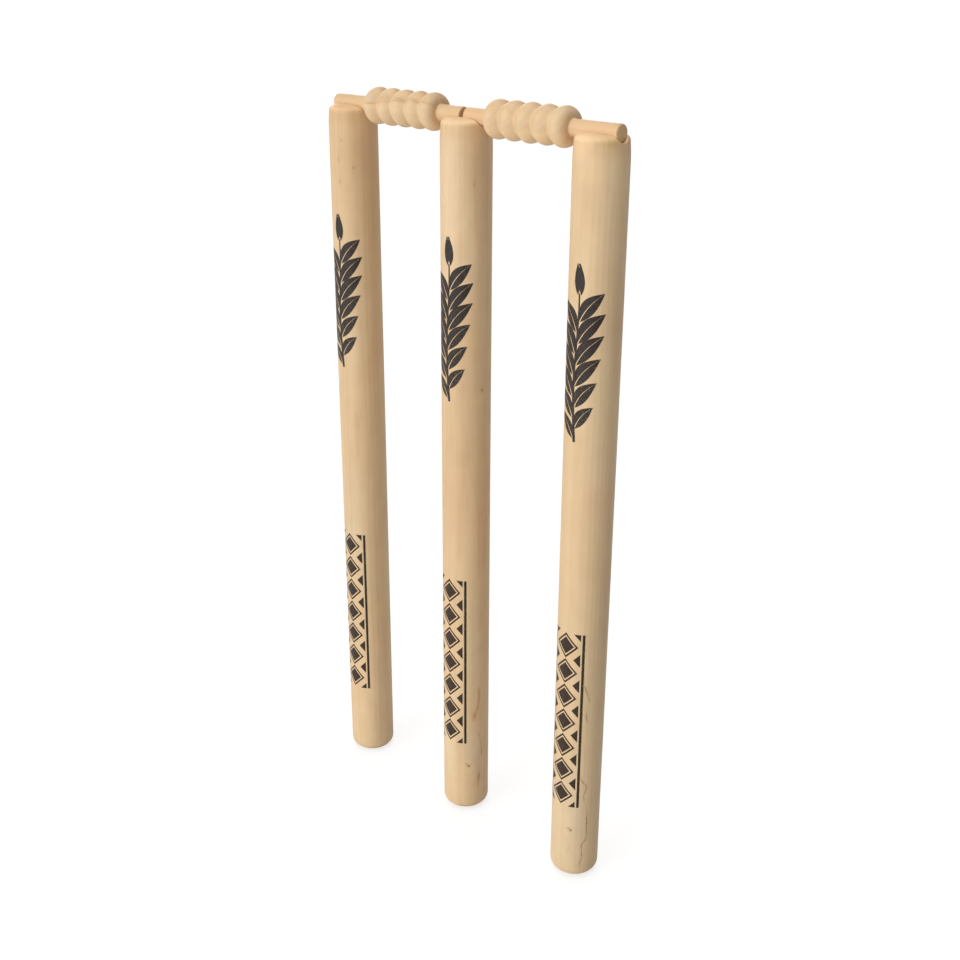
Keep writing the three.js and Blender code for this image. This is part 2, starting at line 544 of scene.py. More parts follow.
@dataclass(frozen=True)
class Sprig:
    """A leafy sprig in ink: a stem, leaves that stand on it by turns, and one leaf at its tip."""

    bottom: float = 366.0
    pitch: float = 14.6
    pairs: float = 6.0
    leaf_length: float = 26.0
    leaf_width: float = 5.3
    leaf_lean: float = 40.0
    leaf_drop: float = 1.0
    smallest: float = 0.70
    growth: float = 0.36
    growth_start: float = 0.35  # where the leaves start on the sine that their sizes follow, in radians
    growth_turn: float = 2.3  # and how far they run along it
    tip_length: float = 21.0
    tip_rise: float = 0.2
    stem_width: float = 0.9
    stem_fullness: float = 1.25
    stem_taper: float = 160.0
    stem_foot: float = 9.0
    stem_tip: float = 1.5
    sway: float = 1.3
    sway_rate: float = 0.055
    reach: int = 3  # how many leaves below a point may still cover it

    def build(self) -> bpy.types.NodeTree:
        """Build the group.

        Returns:
            A group that puts out Depth, how far a point lies inside the ink.
        """
        leaf = Leaf().build()
        effect = Effect("Ink sprig", {"Across": 0.0, "Height": 0.0})
        w = effect.wiring
        up = effect.inputs["Height"] - self.bottom
        across = effect.inputs["Across"] + w.math("SINE", up * self.sway_rate) * self.sway
        out = abs(across)
        rung = up / self.pitch + w.math("LESS_THAN", across, 0.0) * 0.5
        top = self.pitch * (self.pairs + self.tip_rise)
        depths = []
        for below in range(self.reach):
            number = w.math("FLOOR", rung) - float(below)
            turn = number / self.pairs * self.growth_turn + self.growth_start
            size = self.smallest + w.math("SINE", turn) * self.growth
            depth = w.group(leaf, {
                "Out": out, "Up": (rung - number) * self.pitch - self.leaf_drop,
                "Length": size * self.leaf_length, "Width": size * self.leaf_width,
                "Lean": math.radians(self.leaf_lean),
            })["Depth"]
            missing = w.math("LESS_THAN", number, -0.5) + w.math("GREATER_THAN", number, self.pairs - 0.5)
            depths.append(depth - missing * self.leaf_length)
        tip = {"Out": out, "Up": up - top, "Length": self.tip_length, "Width": self.leaf_width, "Lean": 0.0}
        stem = self.stem_width * (self.stem_fullness - up / self.stem_taper) - out
        stem = w.lowest(stem, up + self.stem_foot, top + self.stem_tip - up)
        return effect.close(Depth=w.highest(*depths, w.group(leaf, tip)["Depth"], stem))


@dataclass(frozen=True)
class LozengeRun:
    """A run of framed lozenges in ink, with half lozenges in the gaps at its sides, between two rules."""

    bottom: float = 66.0
    top: float = 213.0
    count: float = 7.0
    half_width: float = 9.9
    half_length: float = 10.2
    frame: float = 1.35
    inset: float = 2.25
    side_across: float = 11.6
    side_width: float = 5.2
    side_length: float = 5.4
    rule_across: float = 13.7
    rule_half_width: float = 1.0

    def build(self) -> bpy.types.NodeTree:
        """Build the group.

        Returns:
            A group that puts out Depth, how far a point lies inside the ink.
        """
        effect = Effect("Ink lozenges", {"Across": 0.0, "Height": 0.0})
        w = effect.wiring
        out, height = abs(effect.inputs["Across"]), effect.inputs["Height"]
        pitch = (self.top - self.bottom) / self.count
        along = abs(w.math("FRACT", (height - self.bottom) / pitch) - 0.5) * pitch
        slope = math.hypot(1 / self.half_width, 1 / self.half_length)
        inside = (1.0 - out / self.half_width - along / self.half_length) / slope
        frame = w.lowest(inside, self.frame - inside)
        slope = math.hypot(1 / self.side_width, 1 / self.side_length)
        aside = (self.side_across - out) / self.side_width + (pitch / 2 - along) / self.side_length
        side = w.lowest((1.0 - aside) / slope, self.side_across - out)
        rule = self.rule_half_width - abs(out - self.rule_across)
        ends = w.lowest(height - self.bottom, self.top - height)
        return effect.close(Depth=w.lowest(w.highest(frame, inside - self.inset, side, rule), ends))


@dataclass(frozen=True)
class InkFilm:
    """The printed film: an edge that creeps into the grain, pinholes and thin places."""

    edge: float = 0.07
    creep: Layer = Layer(1.6, 0.35, 31.0, 3.0)
    creep_reach: float = 0.42
    worn: Layer = Layer(0.035, 0.02, 37.0)
    worn_edge: Point = (0.42, 0.75)
    pinhole: Layer = Layer(4.2, 0.7, 41.0)
    pinhole_edge: Point = (0.60, 0.72)
    pinhole_depth: float = 0.18
    worn_depth: float = 0.5
    thin: Layer = Layer(1.1, 0.03, 43.0, 3.0)

    def build(self) -> bpy.types.NodeTree:
        """Build the group.

        Returns:
            A group that puts out Ink, where the film covers the wood, and Thin, where it is thin.
        """
        effect = Effect("Ink film", {"Place": ORIGIN, "Depth": 0.0})
        w = effect.wiring
        place, depth = effect.inputs["Place"], effect.inputs["Depth"]
        body = w.ramp(depth + w.stray(place, self.creep, self.creep_reach), -self.edge, self.edge)
        worn = w.ramp(w.noise(place, self.worn), *self.worn_edge)
        pinhole = w.ramp(w.noise(place, self.pinhole), *self.pinhole_edge)
        ink = body * (1.0 - pinhole * (self.pinhole_depth + worn * self.worn_depth))
        return effect.close(Ink=ink, Thin=w.noise(place, self.thin))


@dataclass(frozen=True)
class Handling:
    """Wear and dirt from use: a scuffed foot, rubbed end grain, and soil on the foot and in soft clouds."""

    broken: Layer = Layer(0.35, 0.35, 47.0, 4.0)
    scuff_edge: Point = (0.42, 0.62)
    rub: float = 0.6
    cloud: Layer = Layer(0.06, 0.05, 53.0, 3.0)
    foot_soil: float = 0.5
    foot_soil_edge: Point = (0.35, 0.7)
    cloud_soil: float = 0.22
    cloud_soil_edge: Point = (0.56, 0.74)

    def build(self) -> bpy.types.NodeTree:
        """Build the group.

        Returns:
            A group that puts out Scuff, Rub and Soil.
        """
        inputs = {"Place": ORIGIN, "Foot": 0.0, "Crown": 0.0}
        effect = Effect("Handling", inputs)
        w = effect.wiring
        place, foot, crown = (effect.inputs[name] for name in inputs)
        broken, cloud = w.noise(place, self.broken), w.noise(place, self.cloud)
        scuff = foot * w.ramp(broken, *self.scuff_edge)
        rub = crown * (self.rub + broken * self.rub)
        soil = foot * self.foot_soil * w.ramp(cloud, *self.foot_soil_edge)
        soil = soil + w.ramp(cloud, *self.cloud_soil_edge) * self.cloud_soil
        return effect.close(Scuff=scuff, Rub=rub, Soil=soil)


class Effects:
    """Every node group, each built once and then placed in the materials that use it."""

    def __init__(self) -> None:
        """Build the groups."""
        self.grain = WoodGrain().build()
        self.knot = Knot.build()
        self.patch = Blush.build()
        self.check = Check.build()
        self.sprig = Sprig().build()
        self.lozenges = LozengeRun().build()
        self.film = InkFilm().build()
        self.handling = Handling().build()


# Finishes: the woods and the ink, and the material that is built up from them


@dataclass(frozen=True)
class WoodFinish:
    """A piece of wood: its colours, where its pith ran, its flaws' strength, and its thin lacquer."""

    seed: float
    pith: tuple[float, float, float]
    light: Colour = (0.836, 0.633, 0.378)
    dark: Colour = (0.672, 0.462, 0.255)
    warm: Colour = (1.0, 0.955, 0.935)
    warm_edge: Point = (0.35, 0.70)
    soil: Colour = (0.86, 0.83, 0.80)
    scuff: Colour = (0.80, 0.77, 0.74)
    scuff_share: float = 0.5
    scuff_depth: float = 0.06
    halo_share: float = 0.5
    knot_depth: float = 0.12
    crack_stain: float = 0.30
    crack_depth: float = 0.18
    spacing: float = 3.2
    contrast: float = 0.46
    roughness: float = 0.50
    late_roughness: float = 0.05
    tone_roughness: float = 0.08
    scuff_roughness: float = 0.18
    rub_roughness: float = 0.05
    specular: float = 0.35
    coat: float = 0.10
    coat_roughness: float = 0.42
    patch_uneven: Layer = Layer(0.10, 0.014, 67.0, 3.0)
    patch_unevenness: float = 1.3


@dataclass(frozen=True)
class InkFinish:
    """Charcoal printing ink, which is browner low down."""

    colour: Colour = (0.020, 0.013, 0.010)
    thin_colour: Colour = (0.055, 0.034, 0.022)
    thin_edge: Point = (0.50, 0.85)
    brown: Colour = (0.028, 0.012, 0.005)
    brown_fade: Point = (240.0, 360.0)
    roughness: float = 0.48
    height: float = 0.012


@dataclass
class Surface:
    """What the layers of one material have built up so far."""

    colour: Field
    roughness: Field
    height: Field


@dataclass
class Chart:
    """Where a point lies on a piece: how far round from its front and how far along, in millimetres."""

    across: Field
    along: Field
    radius: float

    def oval(self, mark: Knot | Blush) -> dict[str, Value]:
        """Describe a mark on the piece to its group.

        Args:
            mark: a knot or soft patch.

        Returns:
            What the group's inputs get about where a point lies and where the mark is.
        """
        return {
            "Across": self.across, "Height": self.along,
            "Middle Across": math.radians(mark.angle) * self.radius, "Middle Height": mark.height,
            "Width": mark.width, "Length": mark.length,
        }


class WoodMaterial:
    """A material of lacquered wood, to which flaws and ink can be added before it is closed."""

    def __init__(self, name: str, finish: WoodFinish, effects: Effects, turn: Vector, centre: Vector) -> None:
        """Lay down the bare wood.

        Args:
            name: the material's name.
            finish: the wood.
            effects: the node groups.
            turn: how the piece is turned, in radians, so that its grain runs along Z.
            centre: where the piece's axis is once it is so turned, in millimetres.
        """
        self.made = bpy.data.materials.new(name)
        self.made.use_nodes = True
        self.made.diffuse_color = opaque(finish.light)
        self.finish = finish
        self.effects = effects
        self.wiring = w = Wiring(self.made.node_tree)
        self.made.node_tree.nodes.clear()
        coordinates = Field(w, w.node("NodeTexCoord", {}).outputs["Object"])
        scale = (PER_METRE, PER_METRE, PER_METRE)
        given = {"Vector": coordinates, "Location": tuple(-centre), "Rotation": tuple(turn), "Scale": scale}
        self.place = Field(w, w.node("NodeMapping", given, vector_type="POINT").outputs[0])
        grain = w.group(effects.grain, {
            "Place": self.place, "Pith": finish.pith, "Spacing": finish.spacing, "Seed": finish.seed,
        })
        colour = w.mix(0.5 + grain["Tone"] * finish.contrast, finish.dark, finish.light)
        warmed = w.mix(1.0, colour, finish.warm, "MULTIPLY")
        colour = w.mix(w.ramp(grain["Patch"], *finish.warm_edge), colour, warmed)
        roughness = finish.roughness + grain["Late"] * finish.late_roughness
        roughness = roughness - grain["Tone"] * finish.tone_roughness
        self.surface = Surface(colour, roughness, grain["Height"])

    def tint(self, share: Field, tint: Colour) -> None:
        """Multiply the colour by a tint where the share is 1."""
        tinted = self.wiring.mix(1.0, self.surface.colour, tint, "MULTIPLY")
        self.surface.colour = self.wiring.mix(share, self.surface.colour, tinted)

    def handle(self, foot: Value, crown: Value, end_grain: Colour) -> None:
        """Add wear and dirt.

        Args:
            foot: where the piece is scuffed, from 0 to 1.
            crown: where it is rubbed and shows end grain, from 0 to 1.
            end_grain: the tint of the wood there.
        """
        finish, surface = self.finish, self.surface
        wear = self.wiring.group(self.effects.handling, {"Place": self.place, "Foot": foot, "Crown": crown})
        self.tint(wear["Soil"], finish.soil)
        self.tint(wear["Rub"], end_grain)
        self.tint(wear["Scuff"] * finish.scuff_share, finish.scuff)
        surface.roughness = surface.roughness + wear["Scuff"] * finish.scuff_roughness
        surface.roughness = surface.roughness + wear["Rub"] * finish.rub_roughness
        surface.height = surface.height - wear["Scuff"] * finish.scuff_depth

    def knot(self, knot: Knot, chart: Chart) -> None:
        """Add a small knot.

        Args:
            knot: the knot.
            chart: where on the piece a point lies.
        """
        found = self.wiring.group(self.effects.knot, {"Place": self.place, **chart.oval(knot)})
        self.tint(found["Halo"] * (self.finish.halo_share * knot.depth), knot.stain)
        self.tint(found["Core"] * knot.depth, knot.core)
        self.surface.height = self.surface.height - found["Core"] * (self.finish.knot_depth * knot.depth)

    def blush(self, patches: tuple[Blush, ...], chart: Chart) -> None:
        """Add soft patches of other tones.

        Args:
            patches: the patches.
            chart: where on the piece a point lies.
        """
        w, finish = self.wiring, self.finish
        uneven = w.stray(self.place, finish.patch_uneven, finish.patch_unevenness, finish.seed)
        for patch in patches:
            found = w.group(self.effects.patch, {"Uneven": uneven, **chart.oval(patch)})
            self.tint(found["Share"], patch.tint)

    def path(self, points: tuple[Point, ...], chart: Chart) -> tuple[Field, float, float]:
        """A line along the piece.

        Args:
            points: its points, in degrees round the piece and in height.
            chart: where on the piece a point lies.

        Returns:
            How far round the line is at each height, in millimetres, and its lowest and highest ends.
        """
        heights = [height for _, height in points]
        low, high = min(heights), max(heights)
        rise = high - low
        line = [((height - low) / rise, 0.5 + math.radians(angle) / FULL_TURN) for angle, height in points]
        share = self.wiring.curve((chart.along - low) / rise, sorted(line))
        return (share - 0.5) * (FULL_TURN * chart.radius), low, high

    def crack(self, check: Check, chart: Chart) -> None:
        """Add a hairline crack.

        Args:
            check: the crack.
            chart: where on the piece a point lies.
        """
        path, low, high = self.path(check.points, chart)
        found = self.wiring.group(self.effects.check, {
            "Place": self.place, "Across": chart.across, "Height": chart.along, "Path": path,
            "Bottom": low, "Top": high, "Width": check.width,
        })
        self.tint(found["Stain"] * (self.finish.crack_stain * check.depth), check.stain)
        self.tint(found["Line"] * check.depth, check.core)
        self.surface.height = self.surface.height - found["Line"] * (self.finish.crack_depth * check.depth)

    def two_tone(self, line: HeartLine, chart: Chart) -> None:
        """Give the wood on one side of a line another tone, as where sapwood meets heartwood.

        Args:
            line: the line between the two, and the tint of the wood further round than it.
            chart: where on the piece a point lies.
        """
        w = self.wiring
        path, low, high = self.path(line.check.points, chart)
        beyond = w.ramp(chart.across - path + w.stray(self.place, line.shiver, line.shiver_reach), *line.edge)
        ends = w.ramp(w.lowest(chart.along - low, high - chart.along), *line.end_fade)
        self.tint(beyond * ends, line.tint)

    def ink(self, depth: Field, height: Field, ink: InkFinish) -> None:
        """Print ink on the wood.

        Args:
            depth: how far a point lies inside the printed shape, in millimetres.
            height: how high.
            ink: the ink.
        """
        w, surface = self.wiring, self.surface
        film = w.group(self.effects.film, {"Place": self.place, "Depth": depth})
        tint = w.mix(1.0 - w.ramp(height, *ink.brown_fade), ink.colour, ink.brown)
        tint = w.mix(w.ramp(film["Thin"], *ink.thin_edge), tint, ink.thin_colour)
        surface.colour = w.mix(film["Ink"], surface.colour, tint)
        surface.roughness = surface.roughness + film["Ink"] * (ink.roughness - self.finish.roughness)
        surface.height = surface.height + film["Ink"] * ink.height

    def close(self) -> bpy.types.Material:
        """Join the layers to the shader.

        Returns:
            The finished material.
        """
        w = self.wiring
        given = {"Height": self.surface.height, "Distance": MM, "Strength": 1.0}
        bump = Field(w, w.node("NodeBump", given).outputs[0])
        w.show(w.node("NodeBsdfPrincipled", {
            "Base Color": self.surface.colour, "Roughness": self.surface.roughness, "Normal": bump,
            "Coat Weight": self.finish.coat, "Coat Roughness": self.finish.coat_roughness,
            "Specular IOR Level": self.finish.specular,
        }))
        return self.made


# Meshes: turning, cutting and softening


SEAM_GAP = 1e-3  # how near to each other points are merged, in millimetres
CUT_GAP = 1e-5  # and how near to a cut a point counts as being on it


def placed(name: str, data: bpy.types.ID) -> bpy.types.Object:
    """Put a mesh, light or camera into the scene.

    Args:
        name: the object's name.
        data: what it shows.

    Returns:
        The object.
    """
    made = bpy.data.objects.new(name, data)
    bpy.context.scene.collection.objects.link(made)
    return made


def kept(mesh: bmesh.types.BMesh, name: str) -> bpy.types.Mesh:
    """Keep a bmesh as a mesh.

    Args:
        mesh: the bmesh, which is freed.
        name: the mesh's name.

    Returns:
        The mesh.
    """
    made = bpy.data.meshes.new(name)
    mesh.to_mesh(made)
    mesh.free()
    return made


class Turning:
    """A piece turned on a lathe: an outline of (radius, height) spun about Z."""

    CORE = 1.0  # the radius, in millimetres, inside which the surface doesn't waver

    def __init__(self, outline: list[Point], sides: int) -> None:
        """Spin the outline.

        Args:
            outline: the points from one end of the axis to the other, in millimetres.
            sides: how many facets go round the piece.
        """
        self.mesh = bmesh.new()
        spots = [self.mesh.verts.new((radius, 0.0, height)) for radius, height in outline]
        edges = [self.mesh.edges.new(pair) for pair in zip(spots, spots[1:])]
        bmesh.ops.spin(
            self.mesh, geom=spots + edges, cent=(0, 0, 0), axis=(0, 0, 1), angle=FULL_TURN,
            steps=sides, use_merge=True,
        )
        self.tidy()

    def tidy(self, gap: float = SEAM_GAP) -> None:
        """Close the seams and poles and turn every face outwards."""
        bmesh.ops.remove_doubles(self.mesh, verts=self.mesh.verts, dist=gap)
        bmesh.ops.recalc_face_normals(self.mesh, faces=self.mesh.faces)

    def waver(self, amount: float, rate: float, seed: float) -> None:
        """Move the surface in and out a little, as a hand on a lathe does.

        Args:
            amount: by how much at the most, in millimetres.
            rate: how many waves there are to a millimetre.
            seed: what sets this piece apart from others.
        """
        for spot in self.mesh.verts:
            out = Vector((spot.co.x, spot.co.y, 0.0))
            if out.length > self.CORE:
                lift = noise.noise(spot.co * rate + Vector((seed, -seed, seed)))
                spot.co += out.normalized() * (lift * amount)

    def lie_down(self, centre: Vector, clockwise: bool) -> None:
        """Turn the axis from Z to X, towards -X or +X, and move the start of the axis to a point.

        Args:
            centre: where the axis starts, in millimetres.
            clockwise: whether it runs towards +X.
        """
        turn = Matrix.Rotation(QUARTER_TURN if clockwise else -QUARTER_TURN, 3, "Y")
        bmesh.ops.rotate(self.mesh, verts=self.mesh.verts, cent=(0, 0, 0), matrix=turn)
        self.move(centre)

    def move(self, step: Vector) -> None:
        """Move the piece."""
        bmesh.ops.translate(self.mesh, verts=self.mesh.verts, vec=step)

    def finished(self, name: str) -> bpy.types.Object:
        """Bring the mesh down to metres and make it an object.

        Args:
            name: the object's name.

        Returns:
            The object, at the origin, with its place in its mesh.
        """
        bmesh.ops.scale(self.mesh, vec=(MM, MM, MM), verts=self.mesh.verts)
        made = kept(self.mesh, name)
        made.shade_smooth()
        return placed(name, made)


def arc(centre: Point, half: Point, start: float, end: float, steps: int) -> list[Point]:
    """Points along an ellipse.

    Args:
        centre: its middle, as (radius, height).
        half: half its width and half its height.
        start: the angle of the first point, in degrees from the outside.
        end: the angle of the last.
        steps: how many stretches the arc has.

    Returns:
        The points, both ends among them.
    """
    turns = (math.radians(start + (end - start) * step / steps) for step in range(steps + 1))
    return [(centre[0] + half[0] * math.cos(turn), centre[1] + half[1] * math.sin(turn)) for turn in turns]


def groove_cutter(
    radius: float, length: float, axis_height: float, top: float, sides: int,
) -> bmesh.types.BMesh:
    """Make the tool that cuts a groove along X: a round floor under upright walls.

    Args:
        radius: the floor's radius.
        length: how long the tool is.
        axis_height: how high the round's middle is.
        top: how high the walls reach.
        sides: how many facets the whole round would have.

    Returns:
        The tool.
    """
    tool = bmesh.new()
    bmesh.ops.create_circle(tool, cap_ends=True, segments=sides, radius=radius)
    bmesh.ops.rotate(tool, verts=tool.verts, cent=(0, 0, 0), matrix=Matrix.Rotation(QUARTER_TURN, 3, "Y"))
    for spot in tool.verts:
        if spot.co.z > CUT_GAP:
            spot.co.z += top - axis_height
    bmesh.ops.translate(tool, verts=tool.verts, vec=(-length / 2, 0, axis_height))
    pushed = bmesh.ops.extrude_face_region(tool, geom=tool.faces[:], use_keep_orig=True)
    moved = [item for item in pushed["geom"] if isinstance(item, bmesh.types.BMVert)]
    bmesh.ops.translate(tool, verts=moved, vec=(length, 0, 0))
    bmesh.ops.recalc_face_normals(tool, faces=tool.faces)
    return tool


def cut(body: bmesh.types.BMesh, tool: bmesh.types.BMesh) -> bmesh.types.BMesh:
    """Cut one closed mesh away from another.

    Args:
        body: what is cut. It is freed.
        tool: what cuts. It is freed.

    Returns:
        What is left.
    """
    blank, cutter = placed("blank", kept(body, "blank")), placed("cutter", kept(tool, "cutter"))
    modifier = blank.modifiers.new("cut", "BOOLEAN")
    modifier.operation = "DIFFERENCE"
    modifier.solver = "EXACT"
    modifier.object = cutter
    result = modified(blank)
    bpy.data.meshes.remove(cutter.data)
    return result


def modified(held: bpy.types.Object) -> bmesh.types.BMesh:
    """Take an object's mesh with its modifiers applied, and remove the object.

    Args:
        held: the object.

    Returns:
        Its mesh.
    """
    bpy.context.view_layer.update()
    result = bmesh.new()
    result.from_object(held, bpy.context.evaluated_depsgraph_get())
    bpy.data.meshes.remove(held.data)
    return result


def smooth(mesh: bmesh.types.BMesh, spots: list[bmesh.types.BMVert]) -> None:
    """Move points halfway towards the middle of their neighbours."""
    bmesh.ops.smooth_vert(mesh, verts=spots, factor=0.5, use_axis_x=True, use_axis_y=True, use_axis_z=True)


def evened(body: bmesh.types.BMesh, cell: float, passes: int) -> bmesh.types.BMesh:
    """Remake a closed mesh from small even faces, which rounds its sharp edges over.

    Args:
        body: the mesh. It is freed.
        cell: the size of the new faces, in millimetres.
        passes: how many times the new mesh is smoothed.

    Returns:
        The new mesh.
    """
    held = placed("blank", kept(body, "blank"))
    modifier = held.modifiers.new("even", "REMESH")
    modifier.mode = "VOXEL"
    modifier.voxel_size = cell
    result = modified(held)
    for _ in range(passes):
        smooth(result, result.verts[:])
    return result


def trim(body: bmesh.types.BMesh, height: float, keep_top: bool) -> None:
    """Cut a mesh across, take one side of it away, and leave the cut open.

    Args:
        body: the mesh.
        height: how high the cut is, in millimetres.
        keep_top: whether what lies above the cut stays, or what lies below it.
    """
    bmesh.ops.bisect_plane(
        body, geom=body.verts[:] + body.edges[:] + body.faces[:], dist=CUT_GAP, plane_co=(0, 0, height),
        plane_no=(0, 0, 1), clear_inner=keep_top, clear_outer=not keep_top,
    )


def rim(body: bmesh.types.BMesh) -> list[bmesh.types.BMEdge]:
    """The edges round a mesh's open cut."""
    return [edge for edge in body.edges if edge.is_boundary]


def joined(lower: bmesh.types.BMesh, upper: bmesh.types.BMesh) -> bmesh.types.BMesh:
    """Join two open meshes at their rims.

    Args:
        lower: the one mesh. It is added to.
        upper: the other. It is freed.

    Returns:
        The joined mesh.
    """
    held = kept(upper, "upper")
    lower.from_mesh(held)
    bpy.data.meshes.remove(held)
    bmesh.ops.bridge_loops(lower, edges=rim(lower))
    return lower


# Pieces: the stumps and the bails


@dataclass(frozen=True)
class StumpShape:
    """The sizes that every stump is turned and cut to, in millimetres."""

    diameter: float = 36.5
    height: float = 556.4
    foot_width: float = 9.5
    foot_height: float = 8.0
    foot_ring: float = 4.0
    foot_steps: int = 12
    neck_length: float = 11.0
    neck_draw: float = 0.5
    neck_steps: int = 6
    dome_height: float = 6.9
    dome_fullness: float = 3.5
    dome_steps: int = 20
    top_ring: float = 2.6
    groove_radius: float = 5.9
    groove_depth: float = 5.5
    cutter_sides: int = 56
    cutter_beyond: float = 3.0
    cutter_above: float = 4.0
    seam_drop: float = 3.0
    top_cell: float = 0.3
    top_passes: int = 5
    ring_gap: float = 12.0
    sides: int = 112
    waver: float = 0.06
    waver_rate: float = 0.011

    @property
    def radius(self) -> float:
        """Half the diameter."""
        return self.diameter / 2

    @property
    def shoulder(self) -> float:
        """The height at which the dome starts."""
        return self.height - self.dome_height

    def foot(self) -> list[Point]:
        """The middle of the foot and its rounded edge.

        Returns:
            Their points, from the axis outwards.
        """
        half = (self.foot_width, self.foot_height)
        edge = arc((self.radius - half[0], half[1]), half, -90, 0, self.foot_steps)
        return [(0.0, 0.0), (self.foot_ring, 0.0), *edge]

    def side(self) -> list[Point]:
        """The straight side, with a ring every so often, and the neck that draws in above it.

        Returns:
            Their points, from the foot upwards.
        """
        start, end = self.foot_height, self.shoulder - self.neck_length
        count, steps = round((end - start) / self.ring_gap), self.neck_steps
        straight = [(self.radius, start + (end - start) * step / count) for step in range(1, count + 1)]
        neck = [
            (self.radius - self.neck_draw * (step / steps) ** 2, end + self.neck_length * step / steps)
            for step in range(1, steps + 1)
        ]
        return straight + neck

    def dome(self) -> list[Point]:
        """The dome, full at its shoulder and nearly level in the middle.

        Returns:
            Its points, from its shoulder to the middle of the top.
        """
        radius, power = self.radius - self.neck_draw, 2 / self.dome_fullness
        turns = (QUARTER_TURN * step / self.dome_steps for step in range(1, self.dome_steps))
        round_part = [
            (radius * math.cos(turn) ** power, self.shoulder + self.dome_height * math.sin(turn) ** power)
            for turn in turns
        ]
        return [*round_part, (self.top_ring, self.height), (0.0, self.height)]

    def outline(self) -> list[Point]:
        """The whole outline, from the middle of the foot to the middle of the top."""
        return self.foot() + self.side() + self.dome()

    def turned(self, seed: float) -> Turning:
        """Turn a stump and cut its groove.

        Args:
            seed: what sets this stump's unevenness apart from others.

        Returns:
            The stump, standing on the origin.
        """
        turning = Turning(self.outline(), self.sides)
        turning.waver(self.waver, self.waver_rate, seed)
        length, top = self.diameter + 2 * self.cutter_beyond, self.height + self.cutter_above
        axis_height = self.height - self.groove_depth + self.groove_radius
        tool = groove_cutter(self.groove_radius, length, axis_height, top, self.cutter_sides)
        turning.mesh = self.softened(cut(turning.mesh, tool))
        turning.tidy()
        return turning

    def softened(self, mesh: bmesh.types.BMesh) -> bmesh.types.BMesh:
        """Round over the sharp edges that the groove left, by remaking the top from small faces.

        Args:
            mesh: the cut stump. It is freed.

        Returns:
            The stump with a fine, soft top.
        """
        seam = self.shoulder - self.neck_length - self.seam_drop
        top = mesh.copy()
        trim(top, seam - self.seam_drop, keep_top=True)
        bmesh.ops.holes_fill(top, edges=rim(top), sides=0)
        top = evened(top, self.top_cell, self.top_passes)
        trim(top, seam, keep_top=True)
        trim(mesh, seam - 2 * self.top_cell, keep_top=False)
        return joined(mesh, top)


@dataclass
class Stump:
    """One stump: its place, its wood, and the flaws, wear and ink on it."""

    place: Place
    wood: WoodFinish
    shape: StumpShape = field(default_factory=StumpShape)
    blushes: tuple[Blush, ...] = ()
    knots: tuple[Knot, ...] = ()
    checks: tuple[Check, ...] = ()
    ink: InkFinish = field(default_factory=InkFinish)
    foot_fade: Point = (0.5, 7.0)
    crown_tint: Colour = (1.20, 1.15, 1.12)
    crown_edge: Point = (1.5, 4.5)  # above the shoulder, as are those of the collar
    collar_tint: Colour = (0.98, 0.94, 0.89)
    collar_start: Point = (-9.0, -3.0)
    collar_end: Point = (0.0, 3.0)

    @property
    def node(self) -> str:
        """The name of the CAD node that this stump stands for."""
        return f"{self.place.value}_stump"

    def centre(self) -> Vector:
        """The middle of the stump's foot, in millimetres."""
        low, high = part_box(self.node)
        return Vector(((low.x + high.x) / 2, (low.y + high.y) / 2, low.z)) * PER_METRE

    def build(self) -> bpy.types.Object:
        """Make the stump's mesh and set it in its place.

        Returns:
            The stump.
        """
        turning = self.shape.turned(self.wood.seed)
        turning.move(self.centre())
        piece = turning.finished(f"turned_{self.place.value}_stump")
        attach(piece, self.node)
        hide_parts(self.node)
        return piece

    def dress(self, piece: bpy.types.Object, effects: Effects) -> None:
        """Give the stump its wood, flaws and ink.

        Args:
            piece: the stump.
            effects: the node groups.
        """
        name = f"{self.place.value} stump wood"
        material = WoodMaterial(name, self.wood, effects, Vector(ORIGIN), self.centre())
        w = material.wiring
        x, y, height = w.parts(material.place)
        radius = self.shape.radius
        chart = Chart(w.math("ARCTAN2", x, y * -1.0) * radius, height, radius)
        above = height - self.shape.shoulder
        crown = w.ramp(above, *self.crown_edge)
        material.handle(1.0 - w.ramp(height, *self.foot_fade), crown, self.crown_tint)
        collar = w.ramp(above, *self.collar_start) - w.ramp(above, *self.collar_end)
        material.tint(collar, self.collar_tint)
        material.blush(self.blushes, chart)
        for knot in self.knots:
            material.knot(knot, chart)
        for check in self.checks:
            material.crack(check, chart)
        given = {"Across": chart.across, "Height": height}
        printed = [w.group(effect, given)["Depth"] for effect in (effects.sprig, effects.lozenges)]
        material.ink(w.highest(*printed), height, self.ink)
        piece.data.materials.append(material.close())


